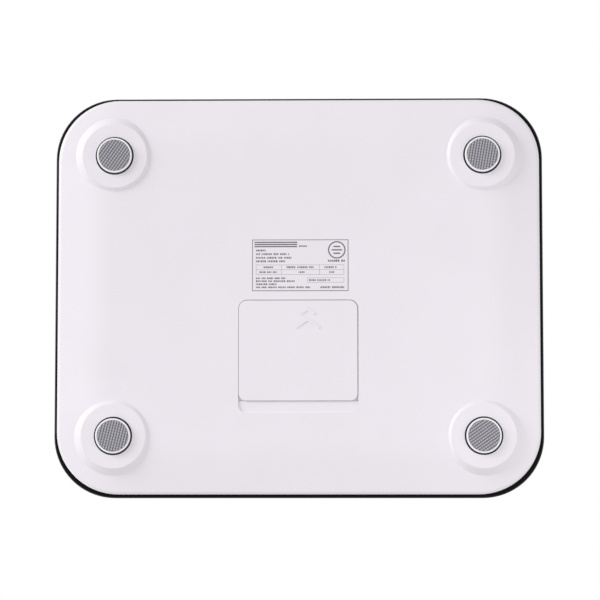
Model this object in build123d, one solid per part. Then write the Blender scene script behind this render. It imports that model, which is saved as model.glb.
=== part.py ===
from build123d import *
from math import cos, hypot, radians, sin, tan
import os

# Digital bathroom scale: a tempered glass platform bonded to a white moulded base, which
# stands on four feet. Each foot pushes on its own load cell. +Z is up when the scale is in
# use, z = 0 is the floor, and the origin is under the middle of the glass. The display end
# is +Y. Millimetres.

# ---- driving dimensions -------------------------------------------------------------
GLASS_X = 320.0
GLASS_Y = 263.0
GLASS_T = 5.0
GLASS_R = 40.0
GLASS_EDGE = 0.6            # ground edge of the glass
HEIGHT = 25.0               # floor to the top of the glass

OVERHANG_X = 2.6            # the glass stands this far past the base
OVERHANG_Y = 2.4
BASE_R = 40.2               # rounder than the glass, so more glass shows at the corners
BASE_BOTTOM = 5.0
FLOOR_T = 2.0
WALL_T = 2.0
DISH_WIDTH = 35.0           # the underside rises to the wall over this band
DISH_BLEND = 17.0           # of which this much is curved, next to the flat middle
DISH_SLOPE = 11.0           # degrees, over the rest
WALL_ROUND = 2.6            # where the rising band turns up into the wall
RIM_FLANGE = 5.0            # inward shelf that the tape sticks to
RIM_FLANGE_T = 1.5

PRINT_T = 0.1
TAPE_T = 0.5
TAPE_INSET = 0.6

FOOT_R = 11.35
FOOT_BOTTOM = 0.35
PAD_R = 10.2
PAD_T = 2.2
FOOT_HOLE_R = 12.5
FOOT_WELL_R = 14.6
FOOT_FLANGE_R = 13.6
FOOT_TRAVEL = 0.5
BOSS_R = 21.2
BOSS_BOTTOM = 3.0
BOSS_DRAFT = 0.92           # radius gained per mm of height
BOSS_TOP = 8.6
BOSS_ROUND = 1.0            # edge of the boss's face
BOSS_BLEND = 0.8            # where the boss grows out of the underside
LIP_T = 3.0

CELL_SIZE = 34.0
CELL_T = 2.0
SEAT_Z = 9.2                # the load cells lie on seats at this height
RETAINER_SIZE = 39.0
RETAINER_INNER = 35.0
RETAINER_CAVITY = 26.0
RETAINER_TOP_T = 2.0
RETAINER_PAD_T = 1.0
RETAINER_ROOM = 0.3         # free space round a retainer
EAR_R = 4.6
EAR_T = 2.0
EAR_REACH = 25.5
EAR_SIDE = 9.0

SCREW_R = 1.4
SCREW_HEAD_R = 2.7
SCREW_HEAD_T = 1.6
SCREW_CLEAR_R = 1.7
SCREW_PILOT_R = 1.45

DOOR_X = 78.0               # opening for the battery door
DOOR_Y = 66.0
DOOR_HINGE_Y = -3.0         # hinge edge of the opening
DOOR_GAP = 0.4
DOOR_T = 1.8
DOOR_R_HINGE = 5.8
DOOR_R_LATCH = 5.2
DOOR_SHIFT = 0.15           # the door lies to one side of its opening
MARK_X = -6.0               # raised opening mark on the door
MARK_HEIGHT = 0.5
LEDGE_Z = 6.95
LEDGE_TOP = 8.5
TRAY_MARGIN = 3.0
FINGER_Y = 7.6              # finger recess beyond the latch edge
FINGER_R = 5.5
FINGER_DEPTH = 1.1
FINGER_WALL = 1.6           # the recess's far wall leans back by this much
TAB_X = 26.0                # middle of each hinge tab
TAB_W = 8.0
TAB_REACH = 3.5
TAB_SLOT_INNER = 4.3        # how far a tab's slot goes to each side of the hinge edge
TAB_SLOT_OUTER = 4.5
SLOT_GAP = 0.5
LATCH_W = 18.0
LATCH_TOP = 9.6
SLOT_TOP = 10.35            # roof of the blind slots for the tabs and the latch
SLOT_WALL = 0.95

CELL_D = 10.5               # AAA batteries
CELL_L = 44.5
CELL_PITCH = 11.3
BATTERIES = 4
NUB_D = 3.8
NUB_L = 0.8
BATTERY_Z = 12.4
SPRING_L = 5.0
CONTACT_T = 0.4
BAY_WALL = 1.5
BAY_CEILING = 17.8
BAY_TOP = 18.8

LABEL_X = 62.8
LABEL_Y = 33.8
LABEL_T = 0.12
LABEL_AT = (-1.3, 19.5)

PCB_X = 84.0
PCB_Y = 44.0
PCB_T = 1.6
PCB_Z = 12.65
PCB_AT_Y = 92.0
PCB_HOLE = 4.0              # hole centres from the board's edges
PCB_PILOT_Z = 7.8           # bottom of the screw holes under the board
LCD_X = 68.0
LCD_Y = 36.0
LCD_T = 2.8
WINDOW_X = 60.0
WINDOW_Y = 27.0
HOLDER_WALL = 3.0
ZEBRA_W = 2.4

WIRE_R = 0.6
WIRE_Z = 12.0
WIRE_PITCH = 2.0
RIB_T = 1.4
RIB_TOP = WIRE_Z - WIRE_R - 0.1

# ---- worked out from them -----------------------------------------------------------
GLASS_BOTTOM = HEIGHT - GLASS_T
PRINT_BOTTOM = GLASS_BOTTOM - PRINT_T
RIM_TOP = PRINT_BOTTOM - TAPE_T
BASE_X = GLASS_X - 2 * OVERHANG_X
BASE_Y = GLASS_Y - 2 * OVERHANG_Y
FLOOR_Z = BASE_BOTTOM + FLOOR_T
BEND_X = BASE_X / 2 - BASE_R        # centres of the base's rounded corners
BEND_Y = BASE_Y / 2 - BASE_R
FOOT_X = GLASS_X / 2 - GLASS_R      # the feet share the centres of the glass's corners
FOOT_Y = GLASS_Y / 2 - GLASS_R
FLAT_X = BASE_X / 2 - DISH_WIDTH
FLAT_Y = BASE_Y / 2 - DISH_WIDTH
LIP_TOP = BOSS_BOTTOM + LIP_T
CELL_TOP = SEAT_Z + CELL_T
RETAINER_TOP = PRINT_BOTTOM - RETAINER_PAD_T
DOOR_LATCH_Y = DOOR_HINGE_Y - DOOR_Y
DOOR_MID_Y = (DOOR_HINGE_Y + DOOR_LATCH_Y) / 2
LATCH_SLOT_Y = (DOOR_LATCH_Y + 1.2, DOOR_LATCH_Y + 4.6)
BAY_X = CELL_L + SPRING_L + 2 * CONTACT_T + 0.1
BAY_Y = BATTERIES * CELL_PITCH + 1.2
PCB_TOP = PCB_Z + PCB_T
LCD_BOTTOM = PRINT_BOTTOM - 0.1 - LCD_T

CORNERS = {
    "front_left": (-1, 1),
    "front_right": (1, 1),
    "rear_left": (-1, -1),
    "rear_right": (1, -1),
}


# ---- helpers ------------------------------------------------------------------------
def save(shape, node):
    """Writes one node. A group of loose pieces is written as a compound of its solids."""
    solids = list(shape.solids())
    body = solids[0] if len(solids) == 1 else Compound(children=solids)
    body.label = node
    export_step(body, f"parts/{node}.step")
    print(f"{node}: {len(solids)} solid(s), {sum(s.volume for s in solids):.1f} mm3")


def block(x0, x1, y0, y1, z0, z1):
    """Box between two corners."""
    size = (abs(x1 - x0), abs(y1 - y0), abs(z1 - z0))
    return Pos((x0 + x1) / 2, (y0 + y1) / 2, (z0 + z1) / 2) * Box(*size)


def post(x, y, radius, z0, z1):
    """Upright round post."""
    return Pos(x, y, (z0 + z1) / 2) * Cylinder(radius, z1 - z0)


def plate(size_x, size_y, radius, z0, z1, at=(0, 0)):
    """Flat plate with rounded corners."""
    outline = Pos(at[0], at[1], z0) * RectangleRounded(size_x, size_y, radius)
    return extrude(outline, z1 - z0)


def ring_sweep(profile):
    """Carries a profile round the base's rounded rectangle.
    The profile lies in XZ, with x counted outwards from a corner's centre."""
    side_x = extrude(Pos(BEND_X, -BEND_Y, 0) * profile, 2 * BEND_Y, dir=(0, 1, 0))
    turned = Pos(BEND_X, BEND_Y, 0) * Rot(0, 0, 90) * profile
    side_y = extrude(turned, 2 * BEND_X, dir=(-1, 0, 0))
    corner = revolve(profile, Axis.Z, 90)
    ring = side_x + Rot(0, 0, 180) * side_x + side_y + Rot(0, 0, 180) * side_y
    for turn, x, y in ((0, 1, 1), (90, -1, 1), (180, -1, -1), (270, 1, -1)):
        ring += Pos(x * BEND_X, y * BEND_Y, 0) * Rot(0, 0, turn) * corner
    return ring


def edge_profile(depth, top):
    """Section of the rising band and the wall, this far inside the outer skin and filled
    to the inside: flat middle, curve, straight slope, rounded corner, upright wall."""
    slope = radians(DISH_SLOPE)
    bottom = BASE_BOTTOM + depth
    inner_r = BASE_R - DISH_WIDTH
    outer_r = BASE_R - depth
    curve_r = DISH_BLEND / sin(slope) - depth
    bend = (inner_r + curve_r * sin(slope), bottom + curve_r * (1 - cos(slope)))
    edge = (outer_r, bend[1] + (outer_r - bend[0]) * tan(slope))
    curve = TangentArc((inner_r, bottom), bend, tangent=(1, 0))
    walls = Polyline(bend, edge, (outer_r, top), (inner_r, top), (inner_r, bottom))
    face = make_face(Curve() + [curve, walls])
    outer_corners = [v for v in face.vertices() if abs(v.X - outer_r) < 1e-6]
    lower_corner = min(outer_corners, key=lambda v: v.Y)
    return Plane.XZ * fillet(lower_corner, WALL_ROUND - depth / 2)


# ---- platform -----------------------------------------------------------------------
def make_glass_platform():
    glass = plate(GLASS_X, GLASS_Y, GLASS_R, GLASS_BOTTOM, HEIGHT)
    rims = glass.faces().filter_by(Axis.Z).edges()
    return chamfer(rims, GLASS_EDGE)


def make_glass_backing_print():
    inset = 2 * GLASS_EDGE + 0.1
    size = (GLASS_X - inset, GLASS_Y - inset, GLASS_R - inset / 2)
    ink = plate(*size, PRINT_BOTTOM, GLASS_BOTTOM)
    window = block(
        -WINDOW_X / 2, WINDOW_X / 2,
        PCB_AT_Y - WINDOW_Y / 2, PCB_AT_Y + WINDOW_Y / 2,
        PRINT_BOTTOM - 1, GLASS_BOTTOM + 1,
    )
    return ink - window


def make_bonding_tape():
    outer = 2 * TAPE_INSET
    inner = 2 * (RIM_FLANGE + WALL_T)
    ring = plate(BASE_X - outer, BASE_Y - outer, BASE_R - outer / 2, RIM_TOP, PRINT_BOTTOM)
    hole = plate(BASE_X - inner, BASE_Y - inner, BASE_R - inner / 2, RIM_TOP, PRINT_BOTTOM)
    return ring - hole


# ---- base ---------------------------------------------------------------------------
def base_envelope():
    """The base's outer form, filled."""
    profile = edge_profile(0, RIM_TOP)
    middle_x = 2 * FLAT_X
    middle_y = 2 * FLAT_Y
    middle_r = BASE_R - DISH_WIDTH
    middle = plate(middle_x, middle_y, middle_r, BASE_BOTTOM, RIM_TOP)
    return ring_sweep(profile) + middle


def base_cavity():
    """The space inside the base, under its rim flange."""
    profile = edge_profile(WALL_T, RIM_TOP - RIM_FLANGE_T)
    middle = plate(
        2 * FLAT_X, 2 * FLAT_Y, BASE_R - DISH_WIDTH, FLOOR_Z, RIM_TOP - RIM_FLANGE_T
    )
    mouth = 2 * (WALL_T + RIM_FLANGE)
    opening = plate(
        BASE_X - mouth, BASE_Y - mouth, BASE_R - mouth / 2, RIM_TOP - 5, RIM_TOP + 1
    )
    return ring_sweep(profile) + middle + opening


def foot_boss(x, y):
    """Raised round plateau on the underside that a foot comes out of."""
    height = BOSS_TOP - BOSS_BOTTOM
    cone = Cone(BOSS_R, BOSS_R + BOSS_DRAFT * height, height)
    cone = Pos(x, y, BOSS_BOTTOM + height / 2) * cone
    face_edge = cone.edges().group_by(Axis.Z)[0]
    return fillet(face_edge, BOSS_ROUND)


def outer_form():
    """The envelope with its four bosses, blended where they meet."""
    form = base_envelope()
    for sx, sy in CORNERS.values():
        form += foot_boss(sx * FOOT_X, sy * FOOT_Y)
    return fillet([edge for edge in form.edges() if is_boss_root(edge)], BOSS_BLEND)


def is_boss_root(edge):
    """True for the edges where a boss leaves the underside."""
    points = (edge @ 0, edge @ 0.5, edge @ 1)
    reach = [hypot(abs(p.X) - FOOT_X, abs(p.Y) - FOOT_Y) for p in points]
    widest = BOSS_R + BOSS_DRAFT * (BOSS_TOP - BOSS_BOTTOM)
    on_underside = min(p.Z for p in points) > BASE_BOTTOM - 0.01
    return on_underside and BOSS_R + 1 < min(reach) and max(reach) < widest


def ear_places(sx, sy):
    """Where a retainer is screwed down, both on its sides that face inwards."""
    across = (sx * (FOOT_X - EAR_REACH), sy * (FOOT_Y - EAR_SIDE))
    along = (sx * (FOOT_X - EAR_SIDE), sy * (FOOT_Y - EAR_REACH))
    return across, along


def pcb_hole_places():
    reach_x = PCB_X / 2 - PCB_HOLE
    reach_y = PCB_Y / 2 - PCB_HOLE
    return [(sx * reach_x, PCB_AT_Y + sy * reach_y) for sx, sy in CORNERS.values()]


def base_ribs():
    """Stiffening ribs on the floor, which also carry the wires."""
    ribs = Part()
    for y in (-55.0, -18.0, 18.0, 55.0):
        ribs += block(-FLAT_X, FLAT_X, y - RIB_T / 2, y + RIB_T / 2, FLOOR_Z - 0.5, RIB_TOP)
    for x in (-84.0, -50.0, 50.0, 84.0):
        ribs += block(x - RIB_T / 2, x + RIB_T / 2, -FLAT_Y, FLAT_Y, FLOOR_Z - 0.5, RIB_TOP)
    return ribs


def battery_tray():
    """Thick floor over the door and the box that holds the batteries, both solid."""
    top_y = DOOR_HINGE_Y + TRAY_MARGIN
    low_y = DOOR_LATCH_Y - FINGER_Y - TRAY_MARGIN
    half_x = DOOR_X / 2 + TRAY_MARGIN
    tray = block(-half_x, half_x, low_y, top_y, BASE_BOTTOM + 0.5, LEDGE_TOP)
    wall_x = BAY_X / 2 + BAY_WALL
    wall_y = BAY_Y / 2 + BAY_WALL
    bay = block(-wall_x, wall_x, DOOR_MID_Y - wall_y, DOOR_MID_Y + wall_y, FLOOR_Z, BAY_TOP)
    return tray + bay


def door_outline(gap):
    """Outline of the door, or of its opening when gap is 0."""
    half_x = DOOR_X / 2 - gap
    top = DOOR_HINGE_Y - gap
    low = DOOR_LATCH_Y + gap
    outline = make_face(Polyline((-half_x, low), (half_x, low), (half_x, top),
                                 (-half_x, top), close=True))
    by_y = outline.vertices().group_by(Axis.Y)
    outline = fillet(by_y[-1], DOOR_R_HINGE - gap)
    latch_corners = [v for v in outline.vertices() if abs(v.Y - low) < 1e-6]
    return fillet(latch_corners, DOOR_R_LATCH - gap)


def finger_recess():
    """Shallow scoop beyond the latch edge, with a leaning far wall. Next to the door's
    round corners it goes as deep as the ledge."""
    far = DOOR_LATCH_Y - FINGER_Y
    near = DOOR_LATCH_Y + 1.0
    floor = BASE_BOTTOM + FINGER_DEPTH
    scoop = make_face(Polyline((far, BASE_BOTTOM - 0.01), (near, BASE_BOTTOM - 0.01),
                               (near, floor), (far + FINGER_WALL, floor - 0.15), close=True))
    scoop = extrude(Plane.YZ * scoop, DOOR_X, both=True)
    height = FINGER_Y + 4 * FINGER_R
    ends = plate(DOOR_X, height, FINGER_R, BASE_BOTTOM - 1, LEDGE_Z + 1, (0, far + height / 2))
    half = DOOR_X / 2
    inner = DOOR_LATCH_Y + DOOR_R_LATCH + 0.5
    corners = block(-half, half, DOOR_LATCH_Y, inner, BASE_BOTTOM - 1, LEDGE_Z)
    return (scoop & ends) + corners


def tab_slot(x):
    """Room in the tray for a hinge tab to turn in."""
    half = TAB_W / 2 + SLOT_GAP
    low = DOOR_HINGE_Y - TAB_SLOT_INNER
    high = DOOR_HINGE_Y + TAB_SLOT_OUTER
    inside = block(x - half, x + half, low, DOOR_HINGE_Y, LEDGE_Z - 1, SLOT_TOP)
    return inside + block(x - half, x + half, DOOR_HINGE_Y - 1, high, FLOOR_Z, SLOT_TOP)


def latch_slot():
    half = LATCH_W / 2 + SLOT_GAP
    low, high = LATCH_SLOT_Y
    return block(-half, half, low, high, LEDGE_Z - 0.5, SLOT_TOP)


def slot_covers():
    """Blocks over the tray that the blind slots are cut into."""
    covers = Part()
    half = TAB_W / 2 + SLOT_GAP + SLOT_WALL
    low = DOOR_HINGE_Y - TAB_SLOT_INNER - SLOT_WALL
    high = DOOR_HINGE_Y + TAB_SLOT_OUTER + SLOT_WALL
    top = SLOT_TOP + SLOT_WALL
    for x in (-TAB_X, TAB_X):
        covers += block(x - half, x + half, low, high, FLOOR_Z - 0.5, top)
    half = LATCH_W / 2 + SLOT_GAP + SLOT_WALL
    low, high = LATCH_SLOT_Y
    covers += block(-half, half, low - SLOT_WALL, high + SLOT_WALL, FLOOR_Z - 0.5, top)
    return covers


def battery_dividers():
    """Low fins on the bay's ceiling between the batteries."""
    fins = Part()
    for i in range(1, BATTERIES):
        y = DOOR_MID_Y + (i - BATTERIES / 2) * CELL_PITCH
        fins += block(-15.0, 15.0, y - 0.25, y + 0.25, BAY_CEILING - 3.2, BAY_CEILING + 0.2)
    return fins


def make_base_cover():
    envelope = outer_form()
    inside = base_ribs() + battery_tray() + slot_covers()
    for sx, sy in CORNERS.values():
        x = sx * FOOT_X
        y = sy * FOOT_Y
        inside += plate(RETAINER_SIZE, RETAINER_SIZE, 5.0, FLOOR_Z - 1, SEAT_Z, (x, y))
        for ear_x, ear_y in ear_places(sx, sy):
            inside += post(ear_x, ear_y, EAR_R, FLOOR_Z - 0.5, SEAT_Z)
    for x, y in pcb_hole_places():
        inside += post(x, y, 3.6, FLOOR_Z - 0.5, PCB_Z)
    base = envelope - base_cavity() + (inside & envelope)
    for sx, sy in CORNERS.values():
        x = sx * FOOT_X
        y = sy * FOOT_Y
        room = RETAINER_SIZE + 2 * RETAINER_ROOM
        base -= plate(room, room, 5.0 + RETAINER_ROOM, SEAT_Z, RIM_TOP - RIM_FLANGE_T, (x, y))
        base -= post(x, y, FOOT_HOLE_R, BOSS_BOTTOM - 1, LIP_TOP + 1)
        base -= post(x, y, FOOT_WELL_R, LIP_TOP, SEAT_Z + 1)
        for ear_x, ear_y in ear_places(sx, sy):
            base -= post(ear_x, ear_y, SCREW_PILOT_R, FLOOR_Z - 0.4, SEAT_Z + 1)
    for x, y in pcb_hole_places():
        base -= post(x, y, SCREW_PILOT_R, PCB_PILOT_Z, PCB_Z + 1)
    base -= extrude(Pos(0, 0, BASE_BOTTOM - 1) * door_outline(0), LEDGE_Z - BASE_BOTTOM + 1)
    base -= finger_recess()
    half_x = BAY_X / 2
    half_y = BAY_Y / 2
    base -= block(
        -half_x, half_x, DOOR_MID_Y - half_y, DOOR_MID_Y + half_y, LEDGE_Z - 1, BAY_CEILING
    )
    base += battery_dividers()
    for x in (-TAB_X, TAB_X):
        base -= tab_slot(x)
    return base - latch_slot()


# ---- battery door and label ---------------------------------------------------------
def chevron(tip_y, arm, width):
    """Flat V that points towards +Y."""
    bar = Pos(arm / 2, 0) * Rectangle(arm, width)
    left = Pos(0, tip_y) * Rot(0, 0, 215) * bar
    right = Pos(0, tip_y) * Rot(0, 0, 325) * bar
    return left + right


def make_battery_door():
    door = extrude(Pos(0, 0, BASE_BOTTOM) * door_outline(DOOR_GAP), DOOR_T)
    inner = BASE_BOTTOM + DOOR_T
    for x in (-TAB_X, TAB_X):
        left = x - TAB_W / 2
        right = x + TAB_W / 2
        root = DOOR_HINGE_Y - 2.0
        door += block(left, right, root, DOOR_HINGE_Y - DOOR_GAP, inner - 0.5, FLOOR_Z + 1.8)
        door += block(left, right, root, DOOR_HINGE_Y + TAB_REACH, FLOOR_Z + 0.3, FLOOR_Z + 1.8)
    root = DOOR_LATCH_Y + 2.6
    half = LATCH_W / 2
    door += block(-half, half, root, root + 1.2, inner - 0.5, LATCH_TOP)
    door += block(-half, half, root - 0.35, root + 0.5, LEDGE_TOP + 0.4, LATCH_TOP)
    for tip, arm in ((DOOR_HINGE_Y - 5.8, 6.0), (DOOR_HINGE_Y - 12.6, 9.6)):
        mark = Pos(MARK_X, 0, BASE_BOTTOM - MARK_HEIGHT) * chevron(tip, arm, 1.8)
        door += extrude(mark, 2 * MARK_HEIGHT)
    return Pos(DOOR_SHIFT, 0, 0) * door


def make_rating_label():
    return plate(LABEL_X, LABEL_Y, 1.0, BASE_BOTTOM - LABEL_T, BASE_BOTTOM, LABEL_AT)


# ---- feet and load cells ------------------------------------------------------------
def make_foot_cup(x, y):
    body_top = 8.2
    cup = post(0, 0, FOOT_R, FOOT_BOTTOM, body_top)
    cup = fillet(cup.edges().group_by(Axis.Z)[0], 0.35)
    cup += post(0, 0, FOOT_FLANGE_R, LIP_TOP + FOOT_TRAVEL, LIP_TOP + FOOT_TRAVEL + 1.4)
    cup -= post(0, 0, 9.4, 4.2, body_top + 1)
    cup += post(0, 0, 3.4, 4.0, SEAT_Z - 0.05)
    for angle in range(0, 360, 60):
        rib = block(3.0, 9.6, -0.6, 0.6, 4.0, body_top - 0.6)
        cup += Rot(0, 0, angle) * rib
    cup -= post(0, 0, PAD_R + 0.05, FOOT_BOTTOM - 1, PAD_T)
    return Pos(x, y, 0) * cup


def make_foot_pad(x, y):
    pad = post(x, y, PAD_R, 0, PAD_T)
    return fillet(pad.edges().group_by(Axis.Z)[0], 0.25)


def make_load_cell(x, y, sx):
    """Stamped steel plate with a C-shaped slot that leaves a middle tongue."""
    cell = RectangleRounded(CELL_SIZE, CELL_SIZE, 2.0)
    slot = RectangleRounded(24.4, 24.4, 2.0) - RectangleRounded(20.0, 20.0, 1.5)
    neck = Pos(11.0, 0) * Rectangle(3.0, 12.0)
    cell = cell - (slot - neck)
    for hole_x in (-14.5, 14.5):
        for hole_y in (-14.5, 14.5):
            cell = cell - Pos(hole_x, hole_y) * Circle(1.1)
    turn = 0 if sx > 0 else 180
    return Pos(x, y, SEAT_Z) * Rot(0, 0, turn) * extrude(cell, CELL_T)


def make_cell_retainer(sx, sy):
    x = sx * FOOT_X
    y = sy * FOOT_Y
    body = plate(RETAINER_SIZE, RETAINER_SIZE, 5.0, SEAT_Z, RETAINER_TOP, (x, y))
    for ear_x, ear_y in ear_places(sx, sy):
        body += post(ear_x, ear_y, EAR_R, SEAT_Z, SEAT_Z + EAR_T)
        root_x = x if abs(ear_x - x) > EAR_SIDE else ear_x
        root_y = y if abs(ear_y - y) > EAR_SIDE else ear_y
        wide_x = 0 if root_x == x else EAR_R
        wide_y = 0 if root_y == y else EAR_R
        body += block(
            min(ear_x, root_x) - wide_x, max(ear_x, root_x) + wide_x,
            min(ear_y, root_y) - wide_y, max(ear_y, root_y) + wide_y,
            SEAT_Z, SEAT_Z + EAR_T
        )
        body -= post(ear_x, ear_y, SCREW_CLEAR_R, SEAT_Z - 1, SEAT_Z + EAR_T + 1)
    body -= plate(RETAINER_INNER, RETAINER_INNER, 2.5, SEAT_Z - 1, CELL_TOP, (x, y))
    body -= plate(
        RETAINER_CAVITY, RETAINER_CAVITY, 2.0, SEAT_Z, RETAINER_TOP - RETAINER_TOP_T, (x, y)
    )
    notch_y = y + sy * EAR_SIDE
    inner_side = x - sx * RETAINER_SIZE / 2
    body -= block(
        inner_side - sx, inner_side + sx * 10.0, notch_y - 4.0, notch_y + 4.0,
        CELL_TOP, WIRE_Z + 1.4
    )
    return body


def make_retainer_pads():
    pads = [
        plate(30.0, 30.0, 3.0, RETAINER_TOP, PRINT_BOTTOM, (sx * FOOT_X, sy * FOOT_Y))
        for sx, sy in CORNERS.values()
    ]
    return Compound(children=pads)


def make_strain_gauges():
    """Sealed gauge patch on each cell's tongue, beside its neck."""
    patches = []
    for sx, sy in CORNERS.values():
        at = (sx * (FOOT_X + 5.0), sy * FOOT_Y)
        patches.append(plate(8.0, 9.0, 1.5, CELL_TOP, CELL_TOP + 0.9, at))
    return Compound(children=patches)


def screw(x, y, under_head, length):
    """Pan-head screw, driven downwards."""
    shank = post(x, y, SCREW_R, under_head - length, under_head + 0.2)
    head = post(x, y, SCREW_HEAD_R, under_head, under_head + SCREW_HEAD_T)
    head = fillet(head.edges().group_by(Axis.Z)[-1], 0.7)
    body = shank + head
    top = under_head + SCREW_HEAD_T
    body -= block(x - 1.6, x + 1.6, y - 0.3, y + 0.3, top - 0.8, top + 1)
    body -= block(x - 0.3, x + 0.3, y - 1.6, y + 1.6, top - 0.8, top + 1)
    return body


def make_retainer_screws():
    places = [p for sx, sy in CORNERS.values() for p in ear_places(sx, sy)]
    top = SEAT_Z + EAR_T
    return Compound(children=[screw(x, y, top, top - FLOOR_Z) for x, y in places])


# ---- electronics --------------------------------------------------------------------
def make_main_pcb():
    board = plate(PCB_X, PCB_Y, 2.0, PCB_Z, PCB_TOP, (0, PCB_AT_Y))
    for x, y in pcb_hole_places():
        board -= post(x, y, SCREW_CLEAR_R, PCB_Z - 1, PCB_TOP + 1)
    return board


def make_pcb_screws():
    return Compound(
        children=[screw(x, y, PCB_TOP, PCB_TOP - PCB_PILOT_Z - 0.2) for x, y in pcb_hole_places()]
    )


def make_controller_chip():
    """Domed drop of sealing compound over the bonded chip, under the board."""
    drop = post(12.0, PCB_AT_Y + 4.0, 5.0, PCB_Z - 1.4, PCB_Z)
    return fillet(drop.edges().group_by(Axis.Z)[0], 1.2)


def make_pcb_components():
    """Capacitors, resistors and a crystal under the board."""
    pieces = []
    for i in range(6):
        x = -28.0 + i * 5.0
        pieces.append(block(x, x + 2.0, PCB_AT_Y + 8.0, PCB_AT_Y + 9.2, PCB_Z - 0.6, PCB_Z))
        pieces.append(block(x, x + 2.0, PCB_AT_Y + 11.0, PCB_AT_Y + 12.2, PCB_Z - 0.6, PCB_Z))
    pieces.append(post(-16.0, PCB_AT_Y + 1.0, 3.0, PCB_Z - 4.0, PCB_Z))
    pieces.append(post(-8.0, PCB_AT_Y + 1.0, 2.5, PCB_Z - 4.0, PCB_Z))
    pieces.append(plate(8.0, 3.4, 1.6, PCB_Z - 2.6, PCB_Z, (28.0, PCB_AT_Y + 8.0)))
    return Compound(children=pieces)


def make_lcd_panel():
    return plate(LCD_X, LCD_Y, 0.6, LCD_BOTTOM, LCD_BOTTOM + LCD_T, (0, PCB_AT_Y))


def make_lcd_holder():
    gap = 0.2
    outer_x = LCD_X + 2 * (gap + HOLDER_WALL)
    outer_y = LCD_Y + 2 * (gap + HOLDER_WALL)
    frame = plate(outer_x, outer_y, 2.0, PCB_TOP, LCD_BOTTOM + LCD_T, (0, PCB_AT_Y))
    frame -= plate(
        LCD_X + 2 * gap, LCD_Y + 2 * gap, 0.8, LCD_BOTTOM, HEIGHT, (0, PCB_AT_Y)
    )
    frame -= block(
        -LCD_X / 2 + 2, LCD_X / 2 - 2, PCB_AT_Y - LCD_Y / 2 + 1, PCB_AT_Y + LCD_Y / 2 - 1,
        PCB_TOP - 1, LCD_BOTTOM + 1
    )
    for x, y in pcb_hole_places():
        frame -= post(x, y, SCREW_HEAD_R + 0.5, PCB_TOP - 1, HEIGHT)
    return frame


def make_lcd_connectors():
    """Striped rubber strips that join the glass panel to the board."""
    strips = []
    for side in (-1, 1):
        y = PCB_AT_Y + side * (LCD_Y / 2 - 1.2 - ZEBRA_W / 2)
        strips.append(block(
            -29.0, 29.0, y - ZEBRA_W / 2, y + ZEBRA_W / 2, PCB_TOP, LCD_BOTTOM
        ))
    return Compound(children=strips)


# ---- batteries and their contacts ---------------------------------------------------
def battery_y(i):
    return DOOR_MID_Y + (i - (BATTERIES - 1) / 2) * CELL_PITCH


def battery_direction(i):
    """+1 where the battery's positive end points to +X. Neighbours are head to tail."""
    return 1 if i % 2 == 0 else -1


def make_battery(i):
    body_l = CELL_L - NUB_L
    can = Cylinder(CELL_D / 2, body_l)
    can = fillet(can.edges().filter_by(GeomType.CIRCLE), 0.5)
    nub = Pos(0, 0, body_l / 2 + NUB_L / 2) * Cylinder(NUB_D / 2, NUB_L)
    nub = fillet(nub.edges().group_by(Axis.Z)[-1], 0.3)
    # the nub end rests 0.05 off its contact plate
    start = BAY_X / 2 - CONTACT_T - 0.05 - NUB_L - body_l / 2
    turn = 90 if battery_direction(i) > 0 else -90
    x = battery_direction(i) * start
    return Pos(x, battery_y(i), BATTERY_Z) * Rot(0, turn, 0) * (can + nub)


def make_battery_springs():
    wire_r = 0.3
    springs = []
    length = SPRING_L - 2 * wire_r - 0.1
    for i in range(BATTERIES):
        side = -battery_direction(i)
        coil = Helix(pitch=length / 3.5, height=length, radius=2.9)
        start = Plane(origin=coil @ 0, z_dir=coil % 0)
        wire = sweep(start * Circle(wire_r), path=coil)
        x = side * (BAY_X / 2 - CONTACT_T - wire_r)
        springs.append(Pos(x, battery_y(i), BATTERY_Z) * Rot(0, -90 * side, 0) * wire)
    return Compound(children=[s.solid() for s in springs])


def make_battery_contacts():
    """Plates at both ends of the bay: pairs join two neighbours, singles end the chain."""
    plates = []
    half = BAY_X / 2
    wide = 8.6
    for side, groups in ((1, ((0,), (1, 2), (3,))), (-1, ((0, 1), (2, 3)))):
        for group in groups:
            y0 = battery_y(group[0]) - wide / 2
            y1 = battery_y(group[-1]) + wide / 2
            x0 = side * (half - CONTACT_T)
            plates.append(block(x0, side * half, y0, y1, 8.0, 16.6))
    return Compound(children=plates)


# ---- wires --------------------------------------------------------------------------
def wire(points):
    """Insulated wire along straight runs joined by arcs as large as the runs allow."""
    radii = []
    for before, here, after in zip(points, points[1:], points[2:]):
        run_in = Vector(*here) - Vector(*before)
        run_out = Vector(*after) - Vector(*here)
        turn = run_in.get_angle(run_out)
        shorter = min(run_in.length, run_out.length)
        radii.append(0.45 * shorter / tan(radians(turn / 2)))
    path = FilletPolyline(*points, radius=radii)
    print("wire", round(path.length, 1), "mm, radii", [round(r, 1) for r in radii])
    section = Plane(origin=path @ 0, z_dir=path % 0) * Circle(WIRE_R)
    return sweep(section, path=path)


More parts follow.
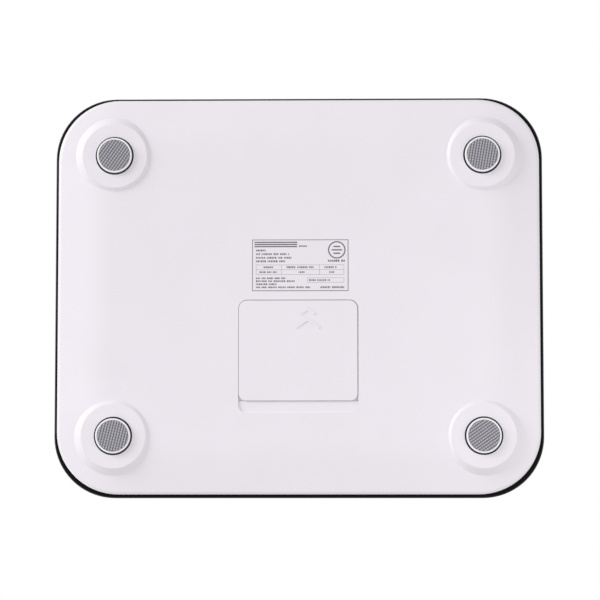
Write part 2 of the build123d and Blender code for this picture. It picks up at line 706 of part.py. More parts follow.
def make_cell_wires(sx, sy):
    """Three wires from one load cell to the board, side by side over the ribs."""
    start_x = FOOT_X - 14.0
    start_y = FOOT_Y + EAR_SIDE
    wires = []
    for lane in (-1, 0, 1):
        step = lane * WIRE_PITCH
        if sy > 0:
            route = [
                (start_x, start_y + step),
                (start_x - 22, start_y + step - 1.5),
                (start_x - 44, start_y + step - 5.5),
                (start_x - 68, start_y + step - 6.5),
            ]
        else:
            route = [
                (start_x, -start_y + step),
                (start_x - 16, -start_y + step + 1.5),
                (start_x - 31 - step, -start_y + 12 + step),
                (start_x - 37 - step, -start_y + 34),
                (start_x - 39 - step, -start_y + 70),
                (start_x - 38 - step, -start_y + 110),
                (start_x - 39 - step, -start_y + 146),
                (start_x - 44 - step, -start_y + 166 + step),
                (start_x - 56, -start_y + 178 + step),
                (start_x - 70, -start_y + 182 + step),
            ]
        wires.append(wire([(sx * x, y, WIRE_Z) for x, y in route]))
    return Compound(children=[w.solid() for w in wires])


def make_battery_leads():
    """The two supply wires, from the ends of the battery chain to the board."""
    out = BAY_X / 2 + BAY_WALL + 0.6
    first = DOOR_MID_Y + BAY_Y / 2 - 6.0
    leads = []
    for side in (-1, 1):
        route = [
            (side * out, first),
            (side * (out + 3), first + 16),
            (side * (out + 2), first + 42),
            (side * (out - 4), first + 72),
            (side * (out - 6), first + 100),
        ]
        leads.append(wire([(x, y, WIRE_Z) for x, y in route]))
    return Compound(children=[w.solid() for w in leads])


# ---- the parts ----------------------------------------------------------------------
os.makedirs("parts", exist_ok=True)

save(make_glass_platform(), "glass_platform")
save(make_glass_backing_print(), "glass_backing_print")
save(make_bonding_tape(), "bonding_tape")
save(make_base_cover(), "base_cover")
save(make_battery_door(), "battery_door")
save(make_rating_label(), "rating_label")
for name, (side_x, side_y) in CORNERS.items():
    foot = (side_x * FOOT_X, side_y * FOOT_Y)
    save(make_foot_cup(*foot), f"foot_cup_{name}")
    save(make_foot_pad(*foot), f"foot_pad_{name}")
    save(make_load_cell(*foot, side_x), f"load_cell_{name}")
    save(make_cell_retainer(side_x, side_y), f"cell_retainer_{name}")
    save(make_cell_wires(side_x, side_y), f"cell_wires_{name}")
save(make_retainer_pads(), "retainer_adhesive_pads")
save(make_strain_gauges(), "strain_gauges")
save(make_retainer_screws(), "retainer_screws")
save(make_main_pcb(), "main_pcb")
save(make_pcb_screws(), "pcb_screws")
save(make_controller_chip(), "controller_chip")
save(make_pcb_components(), "pcb_components")
save(make_lcd_panel(), "lcd_panel")
save(make_lcd_holder(), "lcd_holder")
save(make_lcd_connectors(), "lcd_connectors")
for number in range(BATTERIES):
    save(make_battery(number), f"battery_{number + 1}")
save(make_battery_springs(), "battery_springs")
save(make_battery_contacts(), "battery_contacts")
save(make_battery_leads(), "battery_leads")
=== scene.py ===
import math
import random

import bmesh
import bpy
from mathutils import Matrix, Vector


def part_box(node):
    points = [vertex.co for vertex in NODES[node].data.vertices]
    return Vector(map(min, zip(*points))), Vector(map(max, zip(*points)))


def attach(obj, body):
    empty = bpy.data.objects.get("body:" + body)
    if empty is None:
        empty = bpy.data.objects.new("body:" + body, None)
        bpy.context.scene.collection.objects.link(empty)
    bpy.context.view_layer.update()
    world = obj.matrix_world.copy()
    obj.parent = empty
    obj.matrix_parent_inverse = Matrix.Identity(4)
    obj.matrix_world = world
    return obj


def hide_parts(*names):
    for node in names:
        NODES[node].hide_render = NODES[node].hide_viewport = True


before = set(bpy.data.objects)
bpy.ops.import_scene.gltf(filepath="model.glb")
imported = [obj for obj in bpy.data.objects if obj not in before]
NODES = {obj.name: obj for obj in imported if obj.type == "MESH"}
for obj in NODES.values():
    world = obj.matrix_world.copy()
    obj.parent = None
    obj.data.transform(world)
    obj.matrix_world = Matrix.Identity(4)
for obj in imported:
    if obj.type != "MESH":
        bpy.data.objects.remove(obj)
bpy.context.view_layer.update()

MM = 0.001
CORNERS = ("front_left", "front_right", "rear_left", "rear_right")


# ---- camera -------------------------------------------------------------------------
# The photographed side is the underside, so the camera looks up from below the feet,
# with the display end of the scale at the top of the picture.
CAMERA_DISTANCE = 1.70
CAMERA_TILT = math.radians(5.0)         # towards the end away from the display
CAMERA_SWING = math.radians(1.3)
SENSOR_WIDTH = 36.0                     # in mm, as Blender wants it
PICTURE_WIDTH = 393.6 * MM              # what the picture spans at the glass
AIM = Vector((-0.8, -1.9, 20.0)) * MM


def make_camera():
    data = bpy.data.cameras.new("camera")
    data.sensor_width = SENSOR_WIDTH
    data.lens = SENSOR_WIDTH * CAMERA_DISTANCE / PICTURE_WIDTH
    camera = bpy.data.objects.new("camera", data)
    bpy.context.scene.collection.objects.link(camera)
    back = Vector((-math.tan(CAMERA_SWING), -math.tan(CAMERA_TILT), -1)).normalized()
    right = (-back).cross(Vector((0, 1, 0))).normalized()
    up = right.cross(-back)
    turn = Matrix((right, up, back)).transposed().to_4x4()
    camera.matrix_world = Matrix.Translation(AIM + back * CAMERA_DISTANCE) @ turn
    bpy.context.scene.camera = camera


# ---- lights, floor and world --------------------------------------------------------
# Each lamp's name, place and size in metres, and power in watts. The lamps below light
# the underside: a far key on the front right foot's side, and small fills nearer by.
LAMPS = (
    ("key_below", (2.00, 0.95, -0.93), 1.3, 34.0),
    ("display_end_below", (0.30, 1.00, -0.60), 0.7, 1.0),
    ("fill_below", (-0.46, -0.16, -0.34), 0.35, 0.84),
    ("rear_below", (0.30, -0.45, -0.35), 0.3, 0.42),
    ("key_above", (0.9, -0.9, 1.3), 1.0, 10.0),
    ("fill_above", (-1.2, 0.8, 1.1), 1.2, 4.0),
)
LAMP_TARGET = Vector((0, 0, 0.01))
WORLD_LIGHT = 0.585
FLOOR_HALF = 3.0
FLOOR_GAP = 0.1 * MM        # keeps the floor off the pads' faces


def area_light(name, place, size, power):
    """Soft light that points at the middle of the scale."""
    data = bpy.data.lights.new(name, "AREA")
    data.shape = "SQUARE"
    data.size = size
    data.energy = power
    light = bpy.data.objects.new(name, data)
    bpy.context.scene.collection.objects.link(light)
    light.location = place
    aim = LAMP_TARGET - light.location
    light.rotation_euler = aim.to_track_quat("-Z", "Y").to_euler()
    light.visible_camera = False


def make_world():
    """White to the eye and dimmer as a light, so the lamps still shape the object."""
    world = bpy.data.worlds.new("studio")
    bpy.context.scene.world = world
    world.use_nodes = True
    tree = world.node_tree
    background = tree.nodes["Background"]
    path = tree.nodes.new("ShaderNodeLightPath")
    strength = tree.nodes.new("ShaderNodeMapRange")
    strength.inputs["To Min"].default_value = WORLD_LIGHT
    strength.inputs["To Max"].default_value = 1.0
    tree.links.new(path.outputs["Is Camera Ray"], strength.inputs["Value"])
    tree.links.new(strength.outputs["Result"], background.inputs["Strength"])
    background.inputs["Color"].default_value = (1, 1, 1, 1)


def make_floor():
    """Pale floor under the feet. It is one-sided, so that the underside shows from below."""
    mesh = bpy.data.meshes.new("floor")
    build = bmesh.new()
    bmesh.ops.create_grid(build, x_segments=1, y_segments=1, size=FLOOR_HALF)
    build.to_mesh(mesh)
    build.free()
    floor = bpy.data.objects.new("floor", mesh)
    bpy.context.scene.collection.objects.link(floor)
    floor.location.z = -FLOOR_GAP
    look = bpy.data.materials.new("floor")
    look.use_nodes = True
    tree = look.node_tree
    shader = tree.nodes["Principled BSDF"]
    shader.inputs["Base Color"].default_value = (0.83, 0.83, 0.83, 1)
    shader.inputs["Roughness"].default_value = 0.6
    clear = tree.nodes.new("ShaderNodeBsdfTransparent")
    sides = tree.nodes.new("ShaderNodeNewGeometry")
    mix = tree.nodes.new("ShaderNodeMixShader")
    tree.links.new(sides.outputs["Backfacing"], mix.inputs["Fac"])
    tree.links.new(shader.outputs["BSDF"], mix.inputs[1])
    tree.links.new(clear.outputs["BSDF"], mix.inputs[2])
    tree.links.new(mix.outputs["Shader"], tree.nodes["Material Output"].inputs["Surface"])
    mesh.materials.append(look)
    floor.visible_diffuse = False
    floor.visible_glossy = False
    floor.visible_transmission = False
    floor.visible_shadow = False


def make_stage():
    make_camera()
    make_world()
    make_floor()
    for lamp in LAMPS:
        area_light(*lamp)
    bpy.context.scene.view_settings.view_transform = "Standard"


# ---- material helpers ---------------------------------------------------------------
class Look:
    """A material under construction: its shader and short calls for the nodes it needs."""

    def __init__(self, name, colour, roughness, **sockets):
        self.material = bpy.data.materials.new(name)
        self.material.use_nodes = True
        self.tree = self.material.node_tree
        self.shader = self.tree.nodes["Principled BSDF"]
        self.set("Base Color", (*colour, 1))
        self.set("Roughness", roughness)
        for socket, value in sockets.items():
            self.set(socket.replace("_", " "), value)
        self.coords = self.add("ShaderNodeTexCoord").outputs["Object"]

    def add(self, kind, **settings):
        node = self.tree.nodes.new(kind)
        for key, value in settings.items():
            setattr(node, key, value)
        return node

    def set(self, socket, value):
        self.shader.inputs[socket].default_value = value

    def link(self, output, target):
        if isinstance(target, str):
            target = self.shader.inputs[target]
        self.tree.links.new(output, target)

    def stretched(self, scale):
        """Object coordinates scaled by a different amount along each axis."""
        node = self.add("ShaderNodeMapping")
        node.inputs["Scale"].default_value = scale
        self.link(self.coords, node.inputs["Vector"])
        return node.outputs["Vector"]

    def noise(self, size, detail=3.0, coords=None):
        """Cloudy values between 0 and 1, with blotches of about this many mm."""
        node = self.add("ShaderNodeTexNoise")
        node.inputs["Scale"].default_value = 1 / (size * MM)
        node.inputs["Detail"].default_value = detail
        self.link(coords or self.coords, node.inputs["Vector"])
        return node.outputs["Fac"]

    def cells(self, size):
        node = self.add("ShaderNodeTexVoronoi")
        node.inputs["Scale"].default_value = 1 / (size * MM)
        self.link(self.coords, node.inputs["Vector"])
        return node.outputs["Distance"]

    def spread(self, value, low, high, start=0.3, end=0.7):
        """Maps a value from start..end to low..high."""
        node = self.add("ShaderNodeMapRange")
        node.inputs["From Min"].default_value = start
        node.inputs["From Max"].default_value = end
        node.inputs["To Min"].default_value = low
        node.inputs["To Max"].default_value = high
        self.link(value, node.inputs["Value"])
        return node.outputs["Result"]

    def math(self, operation, first, second):
        node = self.add("ShaderNodeMath", operation=operation)
        for i, value in enumerate((first, second)):
            if isinstance(value, (int, float)):
                node.inputs[i].default_value = value
            else:
                self.link(value, node.inputs[i])
        return node.outputs["Value"]

    def blend(self, amount, first, second):
        """Colour that goes from first to second as amount goes from 0 to 1."""
        node = self.add("ShaderNodeMix", data_type="RGBA")
        self.link(amount, node.inputs["Factor"])
        for socket, value in (("A", first), ("B", second)):
            target = [s for s in node.inputs if s.name == socket and s.type == "RGBA"][0]
            if isinstance(value, tuple):
                target.default_value = (*value, 1)
            else:
                self.link(value, target)
        return [s for s in node.outputs if s.type == "RGBA"][0]

    def bump(self, height, distance, under=None):
        """Adds relief whose full height is this many mm."""
        node = self.add("ShaderNodeBump")
        node.inputs["Distance"].default_value = distance * MM
        self.link(height, node.inputs["Height"])
        if under is not None:
            self.link(under, node.inputs["Normal"])
        self.link(node.outputs["Normal"], "Normal")
        return node.outputs["Normal"]

    def axis(self, letter):
        node = self.add("ShaderNodeSeparateXYZ")
        self.link(self.coords, node.inputs["Vector"])
        return node.outputs[letter]


# ---- materials ----------------------------------------------------------------------
GRAIN_RELIEF = 0.012        # in mm, on moulded plastic
FLOW_TONE = 0.02            # how much darker plastic is along its flow marks
BRUSHED_RELIEF = 0.006      # in mm, on metal
ISLAND_RELIEF = 0.01        # in mm, on small parts that share a node
ENAMEL = (0.002, 0.002, 0.0025)
WINDOW_X = 60.0 * MM        # the display shows through this opening in the enamel
WINDOW_Y = 27.0 * MM
FLAT_FACING = 0.97          # a face counts as flat when its normal is this near vertical


def moulded(name, colour, roughness, grain=0.25):
    """Injection-moulded plastic: fine spark-eroded grain, faint flow tone, worn gloss."""
    look = Look(name, colour, roughness)
    darker = tuple(c * (1 - FLOW_TONE) for c in colour)
    tint = look.blend(look.spread(look.noise(38.0, 4.0), 0, 1), darker, colour)
    look.link(tint, "Base Color")
    worn = look.spread(look.noise(6.0, 5.0), roughness - 0.05, roughness + 0.05)
    look.link(worn, "Roughness")
    coarse = look.bump(look.noise(grain * 6, 2.0), GRAIN_RELIEF * 1.5)
    look.bump(look.noise(grain, 2.0), GRAIN_RELIEF, under=coarse)
    return look.material


def make_glass():
    """Clear sheet whose edge faces are painted near-black, as painted shade for the dark seen in the
    edge. The enamel is fused to its lower face, so that face is black too, except in the display
    window."""
    clear_tint = (0.86, 0.93, 0.91)
    look = Look("platform_glass", clear_tint, 0.02, Transmission_Weight=1.0, IOR=1.51)
    facing = look.add("ShaderNodeSeparateXYZ")
    geometry = look.add("ShaderNodeNewGeometry")
    look.link(geometry.outputs["True Normal"], facing.inputs["Vector"])
    flat = look.math("GREATER_THAN", look.math("ABSOLUTE", facing.outputs["Z"], 0), FLAT_FACING)
    low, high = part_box("lcd_panel")
    off_centre = look.math("ABSOLUTE", look.axis("X"), 0)
    off_middle = look.math("ABSOLUTE", look.math("SUBTRACT", look.axis("Y"), (low.y + high.y) / 2), 0)
    window = look.math("MULTIPLY", look.math("LESS_THAN", off_centre, WINDOW_X / 2),
                       look.math("LESS_THAN", off_middle, WINDOW_Y / 2))
    upper = look.math("GREATER_THAN", look.axis("Z"), high.z + 1.0 * MM)
    clear = look.math("MULTIPLY", flat, look.math("MAXIMUM", upper, window))
    frosted = look.spread(look.noise(0.6, 4.0), 0, 1)
    # painted shade: the sloping and upright edge faces are opaque and near-black, mottled a little
    edge_painted_shade = look.blend(frosted, (0.018, 0.021, 0.021), (0.042, 0.047, 0.046))
    opaque = look.blend(flat, edge_painted_shade, ENAMEL)
    look.link(look.blend(clear, opaque, clear_tint), "Base Color")
    look.link(clear, "Transmission Weight")
    smear = look.spread(look.noise(45.0, 5.0), 0.012, 0.045)
    look.link(look.math("ADD", look.spread(clear, 0.45, 0, 0, 1), smear), "Roughness")
    look.bump(look.noise(120.0, 1.0), 0.02)
    return look.material


def make_print():
    """Black enamel fired onto the glass: no relief of its own, thinner in faint patches."""
    look = Look("black_print", ENAMEL, 0.48, IOR=1.51, Specular_IOR_Level=0.1)
    speck = look.spread(look.noise(0.4, 2.0), 0, 1)
    look.link(look.blend(speck, ENAMEL, (0.004, 0.004, 0.005)), "Base Color")
    look.link(look.spread(look.noise(30.0), 0.46, 0.5), "Roughness")
    return look.material


def make_foam():
    look = Look("foam_tape", (0.72, 0.72, 0.70), 0.85)
    pores = look.spread(look.cells(0.35), 0, 1, 0.0, 0.5)
    # painted shade: the pits of the pores are coloured darker than the foam between them
    look.link(look.blend(pores, (0.55, 0.55, 0.53), (0.76, 0.76, 0.74)), "Base Color")
    look.bump(pores, 0.05)
    return look.material


def make_pad_rubber():
    """Grey rubber, lighter on the ridges that meet the floor as a painted highlight and darker in the
    grooves as painted shade.
    """
    look = Look("grey_rubber", (0.30, 0.30, 0.31), 0.8)
    # painted highlight on the ridge tops and painted shade in the grooves, set by height
    height = look.spread(look.axis("Z"), 1, 0, 0.02 * MM, 0.40 * MM)
    mottled = look.spread(look.noise(0.9, 4.0), 0.82, 1.0)
    level = look.math("MULTIPLY", height, mottled)
    look.link(look.blend(level, (0.155, 0.15, 0.165), (0.47, 0.46, 0.50)), "Base Color")
    look.link(look.spread(look.noise(1.5), 0.68, 0.9), "Roughness")
    look.bump(look.noise(0.16, 3.0), 0.02)
    return look.material


def make_foot_plastic():
    """The cups' white plastic, darkened higher up in the gap round each foot as painted shade."""
    look = Look("foot_abs", (0.88, 0.87, 0.90), 0.34)
    depth = look.math("ADD", look.axis("Z"), look.math("MULTIPLY", look.noise(1.4, 3.0), 0.3 * MM))
    # painted shade: the cup turns near-black from about 2.9 mm up, where it sits deep in the gap
    # round the foot
    gap_painted_shade = look.spread(depth, 0, 1, 2.9 * MM, 3.9 * MM)
    look.link(look.blend(gap_painted_shade, (0.88, 0.87, 0.90), (0.13, 0.125, 0.13)), "Base Color")
    look.link(look.spread(gap_painted_shade, 0.34, 0.7, 0, 1), "Roughness")
    coarse = look.bump(look.noise(2.4, 2.0), 0.006)
    look.bump(look.noise(0.4, 2.0), 0.004, under=coarse)
    return look.material


def make_label_film():
    look = Look("label_film", (0.82, 0.77, 0.83), 0.42, Coat_Weight=0.15, Coat_Roughness=0.25)
    fibre = look.spread(look.noise(0.5, 4.0), 0, 1)
    look.link(look.blend(fibre, (0.80, 0.755, 0.81), (0.835, 0.785, 0.845)), "Base Color")
    look.link(look.spread(look.noise(4.0), 0.36, 0.5), "Roughness")
    look.bump(look.noise(0.35, 2.0), 0.004)
    return look.material


def make_label_ink():
    look = Look("label_ink", (0.09, 0.09, 0.10), 0.5)
    patchy = look.spread(look.noise(0.3, 3.0), 0, 1)
    look.link(look.blend(patchy, (0.07, 0.07, 0.08), (0.16, 0.16, 0.17)), "Base Color")
    look.link(look.spread(look.noise(0.6), 0.4, 0.6), "Roughness")
    return look.material


def metal(name, colour, roughness, along=(1, 1, 1)):
    """Stamped or plated metal, with brushing along the axis of the smallest scale."""
    look = Look(name, colour, roughness, Metallic=1.0)
    brushed = look.noise(0.5, 3.0, look.stretched(along))
    look.link(look.spread(brushed, roughness - 0.08, roughness + 0.12), "Roughness")
    tarnish = look.spread(look.noise(5.0, 5.0), 0, 1)
    look.link(look.blend(tarnish, tuple(c * 0.86 for c in colour), colour), "Base Color")
    look.bump(brushed, BRUSHED_RELIEF)
    return look.material


def make_board():
    """Green solder mask over copper tracks."""
    look = Look("board_laminate", (0.02, 0.16, 0.07), 0.32, Coat_Weight=0.4)
    tracks = look.add("ShaderNodeTexBrick")
    tracks.inputs["Scale"].default_value = 1 / (9 * MM)
    tracks.inputs["Mortar Size"].default_value = 0.04
    look.link(look.coords, tracks.inputs["Vector"])
    line = tracks.outputs["Fac"]
    look.link(look.blend(line, (0.012, 0.12, 0.05), (0.03, 0.24, 0.10)), "Base Color")
    look.link(look.spread(look.noise(2.0), 0.26, 0.4), "Roughness")
    look.bump(line, 0.03)
    return look.material


def by_island(name, colours, roughness):
    """One finish in several colours: each loose solid of the node takes one of them."""
    look = Look(name, colours[0], roughness)
    which = look.add("ShaderNodeNewGeometry").outputs["Random Per Island"]
    ramp = look.add("ShaderNodeValToRGB")
    ramp.color_ramp.interpolation = "CONSTANT"
    for _ in colours[2:]:
        ramp.color_ramp.elements.new(0.5)
    for i, colour in enumerate(colours):
        ramp.color_ramp.elements[i].position = i / len(colours)
        ramp.color_ramp.elements[i].color = (*colour, 1)
    look.link(which, ramp.inputs["Fac"])
    dusty = look.spread(look.noise(1.2, 4.0), 0, 0.18)
    look.link(look.blend(dusty, ramp.outputs["Color"], (0.5, 0.5, 0.5)), "Base Color")
    look.link(look.spread(look.noise(2.0), roughness - 0.06, roughness + 0.08), "Roughness")
    look.bump(look.noise(0.3), ISLAND_RELIEF)
    return look.material


def make_display():
    look = Look("display_glass", (0.30, 0.34, 0.29), 0.12, Coat_Weight=0.6, Coat_Roughness=0.05)
    cloud = look.spread(look.noise(14.0, 2.0), 0, 1)
    look.link(look.blend(cloud, (0.27, 0.31, 0.26), (0.33, 0.37, 0.31)), "Base Color")
    look.link(look.spread(look.noise(1.0), 0.10, 0.2), "Roughness")
    return look.material


SLEEVE_BAND = 12.0 * MM     # coloured band at the positive end
SLEEVE_STRIPE_AT = 13.0 * MM
SLEEVE_STRIPE_HALF = 0.4 * MM
BARE_TIP = 1.5 * MM
BARE_TAIL = 0.7 * MM


def make_battery_sleeve(number):
    """Shrink sleeve with a band at the positive end, and bare metal at both ends."""
    low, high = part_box(f"battery_{number}")
    positive = 1 if number % 2 else -1
    tip = high.x if positive > 0 else low.x
    tail = low.x if positive > 0 else high.x
    look = Look(f"battery_sleeve_{number}", (0.5, 0.5, 0.52), 0.3, Coat_Weight=0.5)
    from_tip = look.math("MULTIPLY", look.math("SUBTRACT", tip, look.axis("X")), positive)
    band = look.math("LESS_THAN", from_tip, SLEEVE_BAND)
    from_stripe = look.math("ABSOLUTE", look.math("SUBTRACT", from_tip, SLEEVE_STRIPE_AT), 0)
    stripe = look.math("LESS_THAN", from_stripe, SLEEVE_STRIPE_HALF)
    paint = look.blend(band, (0.55, 0.56, 0.58), (0.02, 0.09, 0.30))
    paint = look.blend(stripe, paint, (0.75, 0.62, 0.18))
    from_tail = look.math("MULTIPLY", look.math("SUBTRACT", look.axis("X"), tail), positive)
    bare = look.math("MAXIMUM", look.math("LESS_THAN", from_tip, BARE_TIP),
                     look.math("LESS_THAN", from_tail, BARE_TAIL))
    scuffed = look.spread(look.noise(1.6, 4.0), 0, 0.25)
    paint = look.blend(scuffed, paint, (0.4, 0.4, 0.42))
    look.link(look.blend(bare, paint, (0.72, 0.71, 0.69)), "Base Color")
    look.link(look.spread(bare, 0, 1, 0, 1), "Metallic")
    look.link(look.spread(look.noise(2.0), 0.24, 0.4), "Roughness")
    look.bump(look.noise(0.8), 0.01)
    return look.material


def paint(material, *names):
    for name in names:
        slots = NODES[name].data.materials
        slots.clear()
        slots.append(material)


def each_corner(stem):
    return [f"{stem}_{corner}" for corner in CORNERS]


def paint_cad_nodes():
    white = moulded("white_abs", (0.835, 0.795, 0.848), 0.46)
    nylon = moulded("retainer_nylon", (0.78, 0.77, 0.74), 0.5)
    steel = metal("cell_steel", (0.58, 0.58, 0.59), 0.38, (1, 0.05, 1))
    nickel = metal("contact_nickel", (0.74, 0.72, 0.67), 0.25)
    zinc = metal("screw_steel", (0.66, 0.67, 0.69), 0.32)
    wires = by_island(
        "wire_pvc", [(0.50, 0.02, 0.015), (0.75, 0.75, 0.73), (0.02, 0.02, 0.02)], 0.45
    )
    chips = by_island(
        "component_body", [(0.42, 0.30, 0.18), (0.03, 0.03, 0.03), (0.60, 0.60, 0.60)], 0.4
    )
    paint(make_glass(), "glass_platform")
    paint(make_print(), "glass_backing_print")
    paint(make_foam(), "bonding_tape", "retainer_adhesive_pads")
    paint(white, "base_cover", "battery_door")
    paint(make_label_film(), "rating_label")
    paint(make_foot_plastic(), *each_corner("foot_cup"))
    paint(steel, *each_corner("load_cell"))
    paint(nylon, *each_corner("cell_retainer"))
    paint(wires, *each_corner("cell_wires"), "battery_leads")
    paint(moulded("gauge_sealant", (0.86, 0.86, 0.84), 0.4, grain=0.8), "strain_gauges")
    paint(zinc, "retainer_screws", "pcb_screws")
    paint(make_board(), "main_pcb")
    paint(moulded("chip_epoxy", (0.012, 0.012, 0.012), 0.28, grain=0.6), "controller_chip")
    paint(chips, "pcb_components")
    paint(make_display(), "lcd_panel")
    paint(moulded("holder_plastic", (0.025, 0.025, 0.026), 0.45), "lcd_holder")
    stripes = by_island("connector_rubber", [(0.66, 0.36, 0.44), (0.62, 0.34, 0.42)], 0.6)
    paint(stripes, "lcd_connectors")
    paint(nickel, "battery_springs", "battery_contacts")
    for number in (1, 2, 3, 4):
        paint(make_battery_sleeve(number), f"battery_{number}")


# ---- pieces -------------------------------------------------------------------------
def new_piece(name, build, material, body):
    """Turns a bmesh into an object that rides on a body."""
    bmesh.ops.recalc_face_normals(build, faces=build.faces)
    mesh = bpy.data.meshes.new(name)
    build.to_mesh(mesh)
    build.free()
    mesh.materials.append(material)
    piece = bpy.data.objects.new(name, mesh)
    bpy.context.scene.collection.objects.link(piece)
    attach(piece, body)
    return piece


KNURL_PITCH = 1.75 * MM
KNURL_DEPTH = 0.40 * MM     # of the grooves one way
KNURL_CROSS_DEPTH = 0.22 * MM
KNURL_FLAT = 0.42           # shares of the pitch: ridge top, slope, groove floor
KNURL_SLOPE = 0.20
PAD_SIDES = 96
PAD_TRIM = 0.995            # share of the CAD pad's radius that the knurled one keeps
SHEET_MARGIN = 1.1          # the knurled sheet is this much larger before it is cut round
# each pad was pressed in at its own angle, in degrees
PAD_TURNS = {"front_right": 35, "front_left": 10, "rear_right": 14, "rear_left": 55}


def knurl_lines(half):
    """Breakpoints across the ridges, each with 1 on a ridge and 0 in a groove."""
    stops = (0, KNURL_FLAT, KNURL_FLAT + KNURL_SLOPE, 1 - KNURL_SLOPE)
    levels = (1, 1, 0, 0)
    count = math.ceil(half / KNURL_PITCH)
    return [
        ((i + stop) * KNURL_PITCH, level)
        for i in range(-count, count)
        for stop, level in zip(stops, levels)
    ]


def knurl_height(ridge, cross_ridge):
    if not ridge:
        return KNURL_DEPTH
    return 0 if cross_ridge else KNURL_CROSS_DEPTH


def make_knurled_pad(corner, material):
    """Rubber disc with deep grooves one way and shallow grooves across them."""
    node = f"foot_pad_{corner}"
    low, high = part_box(node)
    centre = (low + high) / 2
    radius = (high.x - low.x) / 2
    build = bmesh.new()
    lines = knurl_lines(radius * SHEET_MARGIN)
    rows = [
        [build.verts.new((x, y, knurl_height(a, b))) for x, a in lines] for y, b in lines
    ]
    for upper, lower in zip(rows, rows[1:]):
        for i in range(len(lines) - 1):
            build.faces.new((upper[i], upper[i + 1], lower[i + 1], lower[i]))
    for i in range(PAD_SIDES):
        angle = 2 * math.pi * i / PAD_SIDES
        out = Vector((math.cos(angle), math.sin(angle), 0))
        everything = build.verts[:] + build.edges[:] + build.faces[:]
        edge = out * radius * PAD_TRIM
        bmesh.ops.bisect_plane(
            build, geom=everything, plane_co=edge, plane_no=out, clear_outer=True
        )
    rim = [e for e in build.edges if e.is_boundary]
    wall = bmesh.ops.extrude_edge_only(build, edges=rim)["geom"]
    for vert in [v for v in wall if isinstance(v, bmesh.types.BMVert)]:
        vert.co.z = high.z - low.z
    bmesh.ops.holes_fill(build, edges=[e for e in build.edges if e.is_boundary], sides=0)
    turn = Matrix.Rotation(math.radians(PAD_TURNS[corner]), 4, "Z")
    build.transform(Matrix.Translation((centre.x, centre.y, low.z)) @ turn)
    pad = new_piece(f"knurled_pad_{corner}", build, material, f"foot_{corner}")
    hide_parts(node)


BOX_FACES = ((0, 1, 3, 2), (4, 6, 7, 5), (0, 4, 5, 1), (2, 3, 7, 6), (0, 2, 6, 4), (1, 5, 7, 3))


def add_box(build, x0, x1, y0, y1, z0, z1):
    corners = [
        build.verts.new((x, y, z)) for z in (z0, z1) for y in (y0, y1) for x in (x0, x1)
    ]
    for face in BOX_FACES:
        build.faces.new([corners[i] for i in face])


class LabelArt:
    """Plain printed marks on the label, placed in mm from its top left corner as read."""

    INK = 0.02 * MM
    RING_SIDES = 48

    def __init__(self):
        low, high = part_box("rating_label")
        self.left = high.x          # read from below, so left is +X
        self.top = high.y
        self.face = low.z
        self.width = (high.x - low.x) / MM
        self.height = (high.y - low.y) / MM
        self.build = bmesh.new()
        self.chance = random.Random(11)

    def bar(self, u0, u1, v0, v1):
        add_box(
            self.build, self.left - u1 * MM, self.left - u0 * MM,
            self.top - v1 * MM, self.top - v0 * MM, self.face - self.INK, self.face + self.INK / 2
        )

    def frame(self, u0, u1, v0, v1, line):
        self.bar(u0, u1, v0, v0 + line)
        self.bar(u0, u1, v1 - line, v1)
        self.bar(u0, u0 + line, v0 + line, v1 - line)
        self.bar(u1 - line, u1, v0 + line, v1 - line)

    def row(self, u0, u1, v, tall):
        """Stand-in for a line of print: short dashes in word-like groups."""
        u = u0
        left_in_word = self.chance.randint(3, 7)
        while u < u1:
            wide = self.chance.uniform(0.35, 0.8) * tall
            rise = self.chance.uniform(0.75, 1.0) * tall
            self.bar(u, min(u + wide, u1), v - rise / 2, v + rise / 2)
            left_in_word -= 1
            u += wide + 0.28 * tall
            if left_in_word == 0:
                u += 0.6 * tall
                left_in_word = self.chance.randint(3, 7)

    def ring(self, u, v, radius, line):
        sides = self.RING_SIDES
        x = self.left - u * MM
        y = self.top - v * MM
        loops = []
        for r in (radius, radius - line):
            for z in (self.face - self.INK, self.face + self.INK / 2):
                loops.append([
                    self.build.verts.new((
                        x + r * MM * math.cos(2 * math.pi * i / sides),
                        y + r * MM * math.sin(2 * math.pi * i / sides), z
                    ))
                    for i in range(sides)
                ])
        for a, b in ((0, 1), (1, 3), (3, 2), (2, 0)):
            for i in range(sides):
                j = (i + 1) % sides
                self.build.faces.new((loops[a][i], loops[a][j], loops[b][j], loops[b][i]))


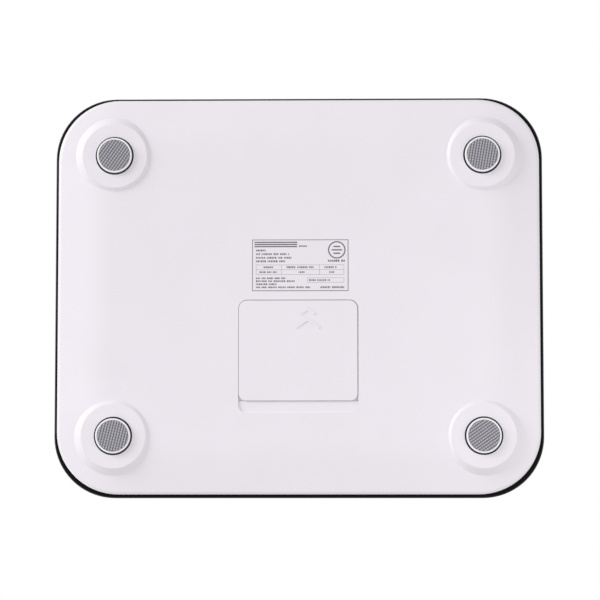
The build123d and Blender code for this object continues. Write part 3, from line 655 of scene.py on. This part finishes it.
def make_label_print():
    """Rows of dashes, a small table of them, and plain stand-ins for heading and mark."""
    art = LabelArt()
    art.frame(0.1, art.width - 0.1, 0.1, art.height - 0.1, 0.38)
    for v in (1.5, 2.9, 4.3):
        art.bar(1.6, 29.4, v, v + 0.75)
    art.row(30.6, 35.8, 4.4, 1.1)
    for v, end in ((7.2, 9.1), (9.6, 24.2), (12.0, 25.6), (14.3, 22.4)):
        art.row(2.6, end, v, 1.3)
    art.ring(55.2, 6.9, 5.7, 0.75)
    for v, half in ((4.7, 2.2), (6.9, 3.4), (9.1, 2.2)):
        art.bar(55.2 - half, 55.2 + half, v - 0.4, v + 0.4)
    art.row(49.4, 60.6, 14.0, 1.5)
    table = (2.6, 59.9, 16.6, 23.0)
    art.frame(*table, 0.14)
    middle = (table[2] + table[3]) / 2
    art.bar(table[0], table[1], middle - 0.07, middle + 0.07)
    for column in (19.2, 43.9):
        art.bar(column - 0.07, column + 0.07, table[2], table[3])
    for start, end in ((7.5, 13.9), (22.6, 40.0), (47.1, 54.9)):
        art.row(start, end, 18.2, 1.3)
    for start, end in ((4.8, 16.0), (30.4, 34.5), (50.3, 54.4)):
        art.row(start, end, 21.4, 1.2)
    for v, end in ((25.4, 21.9), (27.3, 28.3), (29.3, 16.0), (31.3, 38.4)):
        art.row(2.6, end, v, 1.2)
    art.frame(36.1, 59.9, 25.1, 28.2, 0.14)
    art.row(37.2, 50.7, 26.65, 1.2)
    art.row(44.6, 59.9, 31.3, 1.4)
    new_piece("label_print", art.build, make_label_ink(), "base")


def make_display_segments():
    """Unlit seven-segment digits, just visible in the panel under the glass."""
    low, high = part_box("lcd_panel")
    centre = (low + high) / 2
    build = bmesh.new()
    tall = 16.0 * MM
    wide = 8.5 * MM
    thick = 1.5 * MM
    pitch = 13.0 * MM
    tip_gap = 0.25 * MM
    relief = 0.02 * MM

    def segment(x, y, length, upright):
        """Hexagonal bar with pointed ends."""
        half = length / 2 - tip_gap
        points = [
            (-half, 0), (-half + thick / 2, thick / 2), (half - thick / 2, thick / 2),
            (half, 0), (half - thick / 2, -thick / 2), (-half + thick / 2, -thick / 2),
        ]
        if upright:
            points = [(-v, u) for u, v in points]
        rings = [
            [build.verts.new((x + u, y + v, high.z + z)) for u, v in points]
            for z in (0.0, relief)
        ]
        build.faces.new(rings[0])
        build.faces.new(rings[1])
        for i in range(6):
            j = (i + 1) % 6
            build.faces.new((rings[0][i], rings[0][j], rings[1][j], rings[1][i]))

    for digit in range(4):
        x = centre.x + (digit - 1.5) * pitch
        for level in (-1, 0, 1):
            if digit:
                segment(x, centre.y + level * tall / 2, wide, False)
        for level in (-1, 1):
            sides = (-1, 1) if digit else (1,)
            for side in sides:
                segment(x + side * wide / 2, centre.y + level * tall / 4, tall / 2, True)
    ghost = Look("display_segment", (0.20, 0.23, 0.20), 0.3)
    patch = ghost.spread(ghost.noise(3.0), 0, 1)
    ghost.link(ghost.blend(patch, (0.19, 0.22, 0.18), (0.23, 0.26, 0.22)), "Base Color")
    new_piece("display_segments", build, ghost.material, "base")


def make_pieces():
    rubber = make_pad_rubber()
    for corner in CORNERS:
        make_knurled_pad(corner, rubber)
    make_label_print()
    make_display_segments()


make_stage()
paint_cad_nodes()
make_pieces()
